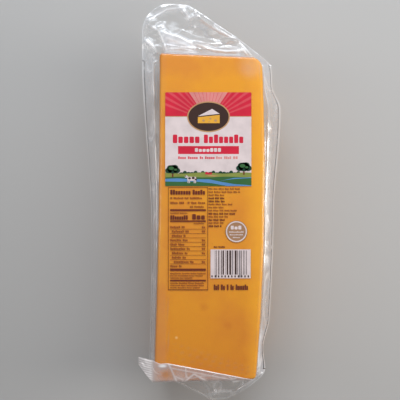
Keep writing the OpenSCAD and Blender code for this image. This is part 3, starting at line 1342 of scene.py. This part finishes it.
@dataclass
class SealFlap:
    """The foot's heat seal, folded up over the edge: milky layers, a crisp fold and a free pointed tip.

    The free edge dips near the -X side: how far in, how wide to each side and how deep. Pleats are lines
    across the flap, and the gleam and the clear place are middles and half sizes, all in mm.
    """

    form: LoafForm
    cover: Pair = (18.5 * MM, 2 * MM)
    tip_reach: float = 13 * MM
    tip_width: float = 6.5 * MM
    tip_drop: float = 5 * MM
    thickness: float = 0.7 * MM
    dip: Trio = (5.5 * MM, 6 * MM, 1.6 * MM)
    pleats: tuple[tuple[Pair, Pair], ...] = (
        ((-33, -123.5), (-26, -139)),
        ((-19.5, -138.6), (-11.6, -132.2)),
        ((-11.6, -132.2), (-0.5, -138.6)),
    )
    gleam: tuple[float, float, float, float] = (-38, -125.4, 3.4, 1.3)
    clear_place: tuple[float, float, float, float] = (-35.5, -132.5, 7, 5.5)
    columns: int = 120
    rows: int = 30
    name: str = "seal_flap"

    def build(self) -> bpy.types.Object:
        """Models the flap.

        Returns:
            One closed object, at the origin.
        """
        return sealed_sheets(self.name, self.columns, self.rows, self.point)

    def point(self, column: int, row: int, up: int) -> FilmPoint:
        """Finds one point of a sheet.

        Args:
            column: Column of the sheet.
            row: Row of the sheet.
            up: 1 for the upper sheet and -1 for the lower.

        Returns:
            Its place, haze and crease.
        """
        form = self.form
        gap = form.film_gap + 0.1 * MM
        left, right = form.left(form.foot_y), form.right(form.foot_y)
        x = mix(left - self.tip_reach, right - form.corner_round, column / self.columns)
        past = max(left - x, 0) / self.tip_reach
        face = form.foot_face(x) - gap
        dip_place, dip_width, dip_depth = self.dip
        dip = dip_depth * clamp(1 - abs(x - left - dip_place) / dip_width)
        near = form.foot_y + mix(*self.cover, (x - left) / (right - left)) - dip
        far = mix(face + 0.3 * MM, near - self.tip_width, past)
        share = (row / self.rows) ** 1.2
        y = mix(far, near, share)
        place = Vector((x, y, 0))
        rounded = inset(y - face, form.edge_round + gap) * (1 - ease(3 * past))
        wave = 0.3 * MM * Wrinkle.FLAP_WAVES.at(place) + 0.6 * MM * past * Wrinkle.TIP_WAVES.at(place)
        haze, crease, lift = self.look(place, near, past, share)
        inside = 0 < column < self.columns and 0 < row < self.rows
        middle = form.box[1].z + gap + self.thickness / 2 - rounded - self.tip_drop * past * past
        place.z = middle + wave + lift + (up * self.thickness / 2 if inside else 0)
        return place, haze, crease

    def look(self, place: Vector, near: float, past: float, share: float) -> Trio:
        """Works out haze, crease and lift of a point.

        Args:
            place: Where the point is.
            near: Y of the flap's free edge there.
            past: How far past the loaf's side, from 0 to 1 at the tip.
            share: 0 at the loaf's foot edge and 1 at the free edge.

        Returns:
            The haze, the crease and the lift.
        """
        x, y, back = place.x / MM, place.y / MM, (near - place.y) / MM
        on_loaf = 1 - ease(5 * past)
        edge = clamp(1.1 - back / 0.9) * (0.35 + 0.65 * ease((x + 36) / 4))
        second = 0.4 * clamp(1 - abs(back - 3.5) / 0.8) * ease((x + 34) / 5)
        pleat = max(0.45 * clamp(1.1 - to_line(x, y, *ends)[0] / 1.1) for ends in self.pleats)
        gleam = clamp(1.3 - self.apart(x, y, *self.gleam))
        layers = (0.3 + 0.6 * abs(math.sin(back * 1.7))) * (1 - on_loaf)
        veins = 0.4 * clamp(1 - 8 * Wrinkle.FLAP_VEINS.at(place))
        clear = clamp(1.25 - self.apart(x, y, *self.clear_place)) * on_loaf
        peak = 0.5 * clamp((y + 139) / -1.5 + 4 - 0.9 * abs(x + 10.5) / 2) * (y < -132.5)
        cloud = mix(1.05, 1.0, share) * (0.8 + 0.35 * Wrinkle.FLAP_CLOUDS.at(place))
        haze = cloud * (1 - 0.8 * clear) * (1 - peak)
        crease = max(edge, second, pleat, gleam, layers * 0.8, veins * (1 - clear))
        return haze, clamp(crease), 0.35 * MM * max(second, pleat)

    @staticmethod
    def apart(x: float, y: float, middle_x: float, middle_y: float, across: float, down: float) -> float:
        """Distance to the middle of an oval, where 1 is on its outline."""
        return math.hypot((x - middle_x) / across, (y - middle_y) / down)

    def dress(self, flap: bpy.types.Object) -> None:
        """Gives the flap its milky finish."""
        milky = FilmFinish(tint=(0.80, 0.69, 0.67), least=0.08, cloud=0.30, crease=0.7, roughness=0.2)
        ride(flap, milky.material("milky_seal"))


# ---- the print ----


@dataclass
class Press:
    """Lays the print down ink by ink, each shape a thin closed plate on the film's upper face.

    Outlines are in mm from the print's upper left corner, x to the right and y down. A level is the order
    in which inks lie over each other.
    """

    corner: Vector
    pitch: float = 0.045 * MM
    thick: float = 0.03 * MM
    plates: dict[Ink, list[tuple[int, list[Pair]]]] = field(default_factory=dict)

    def shape(self, ink: Ink, level: int, outline: Sequence[Pair]) -> None:
        """Adds one closed outline."""
        self.plates.setdefault(ink, []).append((level, list(outline)))

    def bar(
        self, ink: Ink, level: int, x: float, y: float, width: float, height: float, radius: float = 0
    ) -> None:
        """Adds a bar.

        Args:
            ink: The colour.
            level: The order.
            x: Left side.
            y: Upper side.
            width: Width.
            height: Height.
            radius: Radius of its corners, or 0 where they are sharp.
        """
        if radius <= 0:
            self.shape(ink, level, [(x, y), (x, y + height), (x + width, y + height), (x + width, y)])
            return
        r = min(radius, width / 2, height / 2)
        left, right, top, foot = x + r, x + width - r, y + r, y + height - r
        corners = ((left, top), (left, foot), (right, foot), (right, top))
        turns = [(c, math.radians(90 + 90 * i + 22.5 * j)) for i, c in enumerate(corners) for j in range(5)]
        self.shape(ink, level, [(cx + r * math.cos(t), cy - r * math.sin(t)) for (cx, cy), t in turns])

    def disc(
        self, ink: Ink, level: int, x: float, y: float, across: float, down: float, steps: int = 40
    ) -> None:
        """Adds an oval centred at x, y, half as wide and as high as across and down say."""
        turns = [2 * math.pi * i / steps for i in range(steps)]
        self.shape(ink, level, [(x + across * math.cos(t), y - down * math.sin(t)) for t in turns])

    def word(
        self, ink: Ink, level: int, x: float, y: float, width: float, height: float, pace: float = 0.8
    ) -> None:
        """Adds a row of plain blocks, some lower than others, in the place of a word.

        Args:
            ink: The colour.
            level: The order.
            x: Left end.
            y: Upper side.
            width: Length of the row.
            height: Height of the tallest blocks.
            pace: Pitch of the blocks as a share of the height.
        """
        count = max(1, round(width / (pace * height)))
        pitch = width / count
        rounding = 0.2 * pitch if height > 3 else 0
        for i in range(count):
            chance = noise.noise(Vector((x * 1.7 + i * 0.83, y * 0.9, 3.1)))
            short = 0.24 * height if i and chance > -0.12 else 0
            self.bar(ink, level, x + i * pitch, y + short, pitch * 0.8, height - short, rounding)

    def line(
        self,
        ink: Ink,
        level: int,
        x: float,
        y: float,
        words: Sequence[float],
        height: float,
        pace: float = 0.8,
    ) -> None:
        """Adds words one after another.

        Args:
            ink: The colour.
            level: The order.
            x: Left end.
            y: Upper side.
            words: Their lengths.
            height: Height of the tallest blocks.
            pace: Pitch of the blocks as a share of the height.
        """
        for width in words:
            self.word(ink, level, x, y, width, height, pace)
            x += width + min(0.55 * height + 0.2, 1.4)

    def pull(self) -> None:
        """Makes one finished piece of each ink's shapes."""
        for ink, shapes in self.plates.items():
            piece = self.flat(f"print_{ink.name.lower()}", shapes)
            solid = piece.modifiers.new("thickness", "SOLIDIFY")
            solid.thickness, solid.offset = self.thick, 0
            select_only(piece)
            bpy.ops.object.modifier_apply(modifier=solid.name)
            ride(piece, InkFinish(ink).material())

    def flat(self, name: str, shapes: Sequence[tuple[int, list[Pair]]]) -> bpy.types.Object:
        """Lays shapes out flat: each is a filled ring whose corners are then moved to its outline.

        Args:
            name: The piece's name.
            shapes: Levels and outlines.

        Returns:
            The flat piece, at the origin.
        """
        bpy.ops.object.select_all(action="DESELECT")
        bpy.ops.mesh.primitive_circle_add(vertices=len(shapes[0][1]), radius=MM, fill_type="NGON")
        piece = bpy.context.object
        piece.name = piece.data.name = name
        with editing(piece):
            for _, outline in shapes[1:]:
                bpy.ops.mesh.primitive_circle_add(vertices=len(outline), radius=MM, fill_type="NGON")
        corners = iter(piece.data.vertices)
        for level, outline in shapes:
            for x, y in outline:
                rise = level * self.pitch + self.thick / 2
                next(corners).co = self.corner + Vector((x * MM, -y * MM, rise))
        return piece


@dataclass
class FrontLabel:
    """The label at the head end: a red band with a badge, heading blocks, a banner and a small landscape."""

    press: Press
    width: float = 72.6
    height: float = 79.0
    band: float = 20.4

    def build(self) -> None:
        """Prints the label."""
        self.fields()
        self.badge(36.5, 20.6, 18.0, 13.0)
        self.headings()
        self.landscape()
        self.cow(22.4, 73.2)

    def fields(self) -> None:
        """Pale ground and the red band, with a fan of paler rays from behind the badge."""
        press = self.press
        press.bar(Ink.WHITE, 0, 0, 0, self.width, self.height, 0.8)
        press.bar(Ink.RED, 1, 0, 0, self.width, self.band, 0.8)
        press.bar(Ink.TAN, 2, 0, self.band - 0.3, self.width, 0.45)
        centre = (self.width / 2, self.band + 4)
        for i in range(-9, 10):
            lean = math.radians(7.6 * i)
            ink = Ink.PINK if abs(i) <= 4 else Ink.ROSE
            wide = math.radians(3.5 if abs(i) <= 4 else 1.6)
            self.ray(ink, centre, lean - wide, lean + wide)

    def ray(self, ink: Ink, centre: Pair, first: float, last: float) -> None:
        """One ray of the fan, cut off at the band's upper edge and its sides.

        Args:
            ink: The colour.
            centre: Where the rays meet.
            first: Lean of its first side.
            last: Lean of its last side.
        """
        outline = []
        for lean, near in ((first, True), (last, True), (last, False), (first, False)):
            far = min(centre[1] / math.cos(lean), centre[0] / max(abs(math.sin(lean)), 1e-6))
            reach = min((centre[1] - self.band + 0.4) / math.cos(lean), far) if near else far
            outline.append((centre[0] + reach * math.sin(lean), centre[1] - reach * math.cos(lean)))
        if abs(outline[0][0] - outline[3][0]) + abs(outline[0][1] - outline[3][1]) > 0.5:
            self.press.shape(ink, 2, outline)

    def badge(self, x: float, y: float, across: float, down: float) -> None:
        """An oval badge with a wedge of cheese on it.

        Args:
            x: X of its centre.
            y: Y of its centre.
            across: Half its width.
            down: Half its height.
        """
        press = self.press
        left, right = x - 9, x + 9.4
        press.disc(Ink.TAN, 3, x, y, across, down, 56)
        press.disc(Ink.DARK, 4, x, y, across - 1.0, down - 1.0, 56)
        press.shape(Ink.CHEESE, 5, [(left, y + 5.4), (right, y + 5.4), (right, y - 1.6), (left, y + 0.4)])
        press.shape(Ink.WHITE, 5, [(left, y - 0.5), (right, y - 2.5), (x + 3.0, y - 6.6)])
        for hole_x, hole_y, size in ((-4.2, 3.2, 1.2), (1.6, 1.6, 0.9), (5.9, 3.2, 1.3), (0.4, 4.2, 0.6)):
            press.disc(Ink.TAN, 6, x + hole_x, y + hole_y, size, size * 0.8, 16)

    def headings(self) -> None:
        """Two heading words as blocks, the banner below them and a fine line of words."""
        press = self.press
        press.word(Ink.RED, 1, 6.4, 35.6, 23.4, 7.2, 0.6)
        press.word(Ink.RED, 1, 32.6, 35.6, 34.0, 7.2, 0.62)
        press.bar(Ink.RED, 1, 10.8, 45.3, 51.3, 6.7)
        press.word(Ink.WHITE, 2, 25.0, 47.0, 22.6, 3.2, 1.0)
        press.line(Ink.ROSE, 1, 10.9, 54.0, (6.8, 8.6, 3.0, 8.4), 2.2)
        press.line(Ink.PINK, 1, 42.8, 54.0, (5.4, 6.2, 4.2), 2.2)

    def landscape(self) -> None:
        """Far bushes, a field with a barn, a nearer field with the river, and two trees."""
        self.bushes()
        self.land(Ink.GRASS, 2, 68.0, 75.0, 0.5, 0.55)
        self.barn()
        self.land(Ink.LEAF, 3, 71.4, self.height, 0.35, 0.5)
        self.river()
        self.tree(6.3, 64.9, 1.0)
        self.tree(66.3, 62.9, 1.04)

    def bushes(self, count: int = 17, first: float = 13.6, pitch: float = 3.0) -> None:
        """A row of far bushes, some higher than others.

        Args:
            count: How many.
            first: X of the first.
            pitch: Distance from one to the next.
        """
        for i in range(count):
            swell = 1.1 + 1.5 * abs(math.sin(1.9 * i)) ** 3
            self.press.disc(Ink.DARK_LEAF, 1, first + pitch * i, 68.5, 1.9, swell, 16)

    def barn(self) -> None:
        """A small red barn with a brown roof, and the track that leads to it."""
        track = [(37.5, 69.6), (45.6, 70.4), (41.0, 70.9), (34.0, 70.3)]
        walls = [(33.6, 69.2), (33.6, 68.0), (35.2, 67.0), (36.8, 67.9), (39.4, 68.0), (39.4, 69.2)]
        roof = [(36.4, 68.1), (39.9, 68.1), (39.2, 67.1), (37.0, 67.1)]
        self.press.shape(Ink.TAN, 3, track)
        self.press.shape(Ink.RED, 3, walls)
        self.press.shape(Ink.BROWN, 4, roof)

    def river(self) -> None:
        """A river that widens towards the left side, and a thin arm of it further back."""
        right, foot = self.width, self.height
        far = [(0.0, 72.9), (10.0, 72.5), (24.0, 73.2), (37.0, 73.3), (47.0, 75.4), (58.0, 77.3)]
        side = [(right, 78.4), (right, foot), (52.0, foot)]
        near = [(40.0, 76.7), (26.0, 75.2), (12.0, 75.4), (0.0, 75.2)]
        arm = [(46.0, 74.6), (58.0, 72.2), (right, 71.7), (right, 72.2), (58.0, 73.0)]
        self.press.shape(Ink.WATER, 4, far + side + near)
        self.press.shape(Ink.WATER, 4, arm)

    def tree(self, x: float, y: float, size: float) -> None:
        """A round tree with lighter leaves where the light falls.

        Args:
            x: X of its crown.
            y: Y of its crown.
            size: Its size beside an ordinary tree.
        """
        press = self.press
        press.bar(Ink.BROWN, 3, x - 0.6, y + 1, 1.2, 5.6)
        crown = ((0, 0, 4.4), (-3.4, 1.0, 2.9), (3.4, 1.0, 2.9), (1.7, -1.3, 3.0), (-1.9, -1.0, 3.0))
        for across, down, big in crown:
            radius = big * size
            press.disc(Ink.DARK_LEAF, 5, x + across * size, y + down * size, radius, radius * 0.82, 20)
        press.disc(Ink.LEAF, 6, x - 1.2, y - 0.9, 2.3 * size, 1.5 * size, 18)
        press.disc(Ink.LEAF, 6, x + 2.4, y + 0.3, 1.4 * size, 0.9 * size, 16)

    def cow(self, x: float, y: float) -> None:
        """A plain spotted cow, facing the left.

        Args:
            x: X of its middle.
            y: Y of its middle.
        """
        press = self.press
        press.bar(Ink.WHITE, 5, x - 3.8, y - 2.0, 7.6, 3.4, 1.2)
        press.disc(Ink.WHITE, 5, x - 4.7, y - 2.2, 1.3, 1.0, 16)
        for leg in (-3.2, -1.9, 2.0, 3.2):
            press.bar(Ink.WHITE, 5, x + leg - 0.35, y + 1.0, 0.7, 2.3)
        for spot_x, spot_y, size in ((-1.9, -0.7, 1.2), (1.2, -1.0, 1.3), (3.2, 0.2, 0.8), (-5.2, -2.5, 0.6)):
            press.disc(Ink.DARK, 6, x + spot_x, y + spot_y, size, size * 0.8, 14)
        press.bar(Ink.DARK, 6, x + 3.7, y - 1.4, 0.5, 2.6)

    def land(self, ink: Ink, level: int, top: float, foot: float, swell: float, pace: float) -> None:
        """A strip of land whose upper edge rolls by swell, a wave every few steps as pace says."""
        crest = [(self.width * i / 24, top + swell * math.sin(pace * i + top)) for i in range(25)]
        self.press.shape(ink, level, crest + [(self.width, foot), (0.0, foot)])


@dataclass
class FactsPanel:
    """A bordered panel of ruled rows below the label, all in brown, with blocks in the place of words."""

    press: Press
    x: float = 2.4
    y: float = 80.0
    width: float = 33.6
    height: float = 86.8
    pitch: float = 3.66

    def build(self) -> None:
        """Prints the panel."""
        rule = 0.38
        for x, y, width, height in (
            (0, 0, self.width, rule), (0, self.height - 0.6, self.width, 0.6),
            (0, 0, rule, self.height), (self.width - rule, 0, rule, self.height),
        ):
            self.press.bar(Ink.BROWN, 0, self.x + x, self.y + y, width, height)
        self.words(1.9, 2.1, (17.4, 10.8), 4.1, 0.5)
        self.words(1.9, 8.4, (1.8, 8.2, 3.4, 10.4), 1.5)
        self.words(1.9, 12.2, (6.4, 4.2), 1.8)
        self.words(16.4, 12.2, (2.0, 4.6, 6.0), 1.8)
        self.words(18.6, 15.7, (2.6, 8.0), 1.5)
        self.rule(18.5, 1.6)
        self.words(1.9, 21.3, (7.2, 6.6), 1.0)
        self.words(1.9, 23.7, (15.0,), 3.7, 0.5)
        self.words(20.4, 22.6, (11.2,), 4.7, 0.7)
        self.rule(28.0, 1.2)
        self.words(21.6, 30.0, (9.0,), 1.0)
        rows = (
            (0, 8.4, 2.6, 1), (1.4, 10.2, 3.0, 1), (1.4, 8.6, 2.0, 0), (0, 9.4, 4.2, 1), (0, 5.6, 5.2, 1),
            (0, 12.8, 2.6, 1), (1.4, 9.6, 2.4, 1), (1.4, 7.8, 3.0, 0), (3.0, 12.6, 3.0, 1), (0, 6.2, 2.2, 0),
        )
        for i, (indent, name, amount, has_share) in enumerate(rows):
            top = 32.7 + self.pitch * i
            self.words(1.9 + indent, top, (name, amount), 1.75)
            if has_share:
                self.words(28.6, top, (2.8,), 1.75)
            if i < len(rows) - 1:
                self.rule(top + 2.5, 0.3)
        self.rule(68.6, 1.9)
        for i, widths in enumerate(((9.2, 6.4, 5.0, 7.0), (5.6, 8.8, 4.6, 6.0), (7.4, 3.0, 6.8))):
            self.words(1.9, 72.2 + 1.9 * i, widths, 1.0)
        self.rule(78.0, 1.3)
        for i, widths in enumerate(((6.4, 7.2, 5.0, 7.6), (8.2, 4.0, 9.4, 4.6), (5.6, 6.8, 4.2, 6.0))):
            self.words(1.9, 80.4 + 1.9 * i, widths, 1.0)

    def rule(self, y: float, thick: float) -> None:
        """A rule across the panel."""
        self.press.bar(Ink.BROWN, 0, self.x + 1.8, self.y + y, self.width - 3.6, thick)

    def words(self, x: float, y: float, widths: Sequence[float], height: float, pace: float = 0.8) -> None:
        """Blocks in a row, in the place of words; small ones are paler."""
        ink = Ink.BROWN if height > 2 else Ink.RUST
        self.press.line(ink, 0, self.x + x, self.y + y, widths, height, pace)


@dataclass
class SidePrint:
    """What is printed beside the panel: lines of words, a round seal, a stripe code and a weight line."""

    press: Press
    margin: float = 36.6
    top: float = 80.7
    pitch: float = 2.61
    ends: tuple[float, ...] = (63.7, 63.2, 49.7, 49.9, 50.2, 57.6, 49.2, 60.8, 60.8, 52.9, 51.8, 49.2, 47.6)
    bold_rows: tuple[int, ...] = (3, 4, 8, 10, 12)

    def build(self) -> None:
        """Prints the side column."""
        for row, end in enumerate(self.ends):
            self.sentence(row, end)
        self.seal(60.0, 117.4, 9.2)
        self.press.line(Ink.BROWN, 0, 41.0, 129.7, (3.0, 5.6), 1.2)
        self.stripes(38.2, 132.4, 33.8, 24.4)
        self.press.line(Ink.BROWN, 0, 41.0, 162.0, (4.6, 3.6, 1.6, 3.0, 10.6), 4.6, 0.35)

    def sentence(self, row: int, end: float) -> None:
        """Prints one row of words of uneven length.

        Args:
            row: Number of the row.
            end: Where it ends.
        """
        bold = row in self.bold_rows
        ink, height = (Ink.BROWN, 1.5) if bold else (Ink.RUST, 1.3)
        x, step = self.margin, 0
        while x < end - 1.2:
            length = 3.0 + 3.4 * abs(noise.noise(Vector((row * 1.7, step * 0.61, 2.3))))
            width = min(length, end - x)
            self.press.word(ink, 0, x, self.top + self.pitch * row, width, height)
            x += width + 0.9
            step += 1

    def seal(self, x: float, y: float, radius: float) -> None:
        """A round seal with a pale ring and blocks inside it.

        Args:
            x: X of its centre.
            y: Y of its centre.
            radius: Its radius.
        """
        press = self.press
        press.disc(Ink.TAUPE, 0, x, y, radius, radius, 56)
        press.disc(Ink.WHITE, 1, x, y, radius - 0.4, radius - 0.4, 56)
        press.disc(Ink.TAUPE, 2, x, y, radius - 1.4, radius - 1.4, 56)
        press.word(Ink.WHITE, 3, x - 4.8, y - 5.0, 9.6, 3.2, 1.0)
        for row, half in enumerate((6.2, 5.6, 3.0)):
            press.word(Ink.WHITE, 3, x - half, y - 0.1 + 2.3 * row, 2 * half, 0.9, 1.2)

    def stripes(self, x: float, y: float, width: float, height: float) -> None:
        """Upright stripes of several widths on a pale field, over a row of small blocks.

        Args:
            x: Left side.
            y: Upper side.
            width: Width of the field.
            height: Height of the field.
        """
        press = self.press
        press.bar(Ink.WHITE, 0, x, y, width, height)
        place, i = x + 3.6, 0
        while place < x + width - 3.4:
            thick = (0.5, 1.2, 0.45, 1.5, 0.6)[(i * 7 + i // 3) % 5]
            short = 1.6 if i % 12 in (0, 1) else 4.0
            press.bar(Ink.DARK if i % 3 else Ink.GREY, 1, place, y + 0.9, thick, height - short)
            place += thick + (0.6, 1.3, 0.5, 0.9)[i * 5 % 4]
            i += 1
        for i in range(12):
            press.bar(Ink.DARK, 1, x + 0.7 + 2.78 * i, y + height - 2.6, 1.1, 1.9, 0.4)


# ---- the studio ----


@dataclass
class Studio:
    """A pale floor, soft lights and the camera straight above."""

    form: LoafForm
    camera_place: Vector = field(default_factory=lambda: Vector((-6.5 * MM, 14.4 * MM, 685 * MM)))
    view_angle: float = math.radians(31.5)
    aim: Vector = field(default_factory=lambda: Vector((0, 0, 40 * MM)))
    floor_size: float = 6.0
    sky_strength: float = 0.19

    def build(self) -> None:
        """Sets the stage."""
        self.floor()
        self.light("head_window", Vector((0.02, 0.80, 0.72)), (0.8, 0.4), 8.6, (0.90, 0.95, 1.0))
        self.light("over_left", Vector((-0.75, 0.05, 0.9)), (0.3, 0.9), 2.0, (1.0, 0.97, 0.93))
        self.light("over_right", Vector((0.8, 0.0, 0.5)), (0.25, 0.9), 4.6, (1.0, 0.96, 0.9))
        self.light("foot_fill", Vector((0.0, -0.9, 0.8)), (0.9, 0.3), 0.5, (1.0, 0.80, 0.60))
        self.sky()
        self.camera()

    def floor(self) -> None:
        """A wide plain floor under the object."""
        bpy.ops.object.select_all(action="DESELECT")
        bpy.ops.mesh.primitive_plane_add(size=self.floor_size)
        floor = bpy.context.object
        floor.name = "floor"
        n = Nodes("pale_floor")
        colour = n.blend(n.noise(0.4, 2), (0.44, 0.435, 0.43), (0.47, 0.465, 0.46))
        floor.data.materials.append(n.finish(n.principled(Base_Color=colour, Roughness=0.75)))

    def light(self, name: str, place: Vector, size: Pair, watts: float, colour: Colour) -> None:
        """A soft box turned to the object.

        Args:
            name: Its name.
            place: Where it stands.
            size: Its width and height.
            watts: Its power.
            colour: Its colour.
        """
        data = bpy.data.lights.new(name, "AREA")
        data.shape, data.size, data.size_y = "RECTANGLE", *size
        data.energy, data.color = watts, colour
        lamp = bpy.data.objects.new(name, data)
        lamp.location = place
        lamp.rotation_euler = (self.aim - place).to_track_quat("-Z", "Y").to_euler()
        bpy.context.collection.objects.link(lamp)

    def sky(self) -> None:
        """Even, faint light from all round."""
        world = bpy.data.worlds.new("studio")
        world.use_nodes = True
        back = world.node_tree.nodes["Background"]
        back.inputs["Color"].default_value = (0.92, 0.95, 1.0, 1)
        back.inputs["Strength"].default_value = self.sky_strength
        bpy.context.scene.world = world

    def camera(self) -> None:
        """The camera looks straight down, with the head end at the top of the picture."""
        data = bpy.data.cameras.new("camera")
        data.lens = data.sensor_width / 2 / math.tan(self.view_angle / 2)
        camera = bpy.data.objects.new("camera", data)
        camera.location = self.camera_place
        bpy.context.collection.objects.link(camera)
        bpy.context.scene.camera = camera
        bpy.context.scene.view_settings.view_transform = "Standard"


def main() -> None:
    """Builds every piece in order."""
    logging.basicConfig(level=logging.INFO, format="%(name)s: %(message)s")
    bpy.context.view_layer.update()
    form = LoafForm()
    for part in (CheeseLoaf(form), FilmPouch(form), SealFlap(form)):
        part.dress(part.build())
    face = form.box[1].z + form.film_gap + PRINT_CLEAR
    press = Press(Vector((PRINT_LEFT, form.head_y - PRINT_FROM_HEAD, face)))
    for print_job in (FrontLabel(press), FactsPanel(press), SidePrint(press)):
        print_job.build()
    press.pull()
    Studio(form).build()


if __name__ == "__main__":
    main()
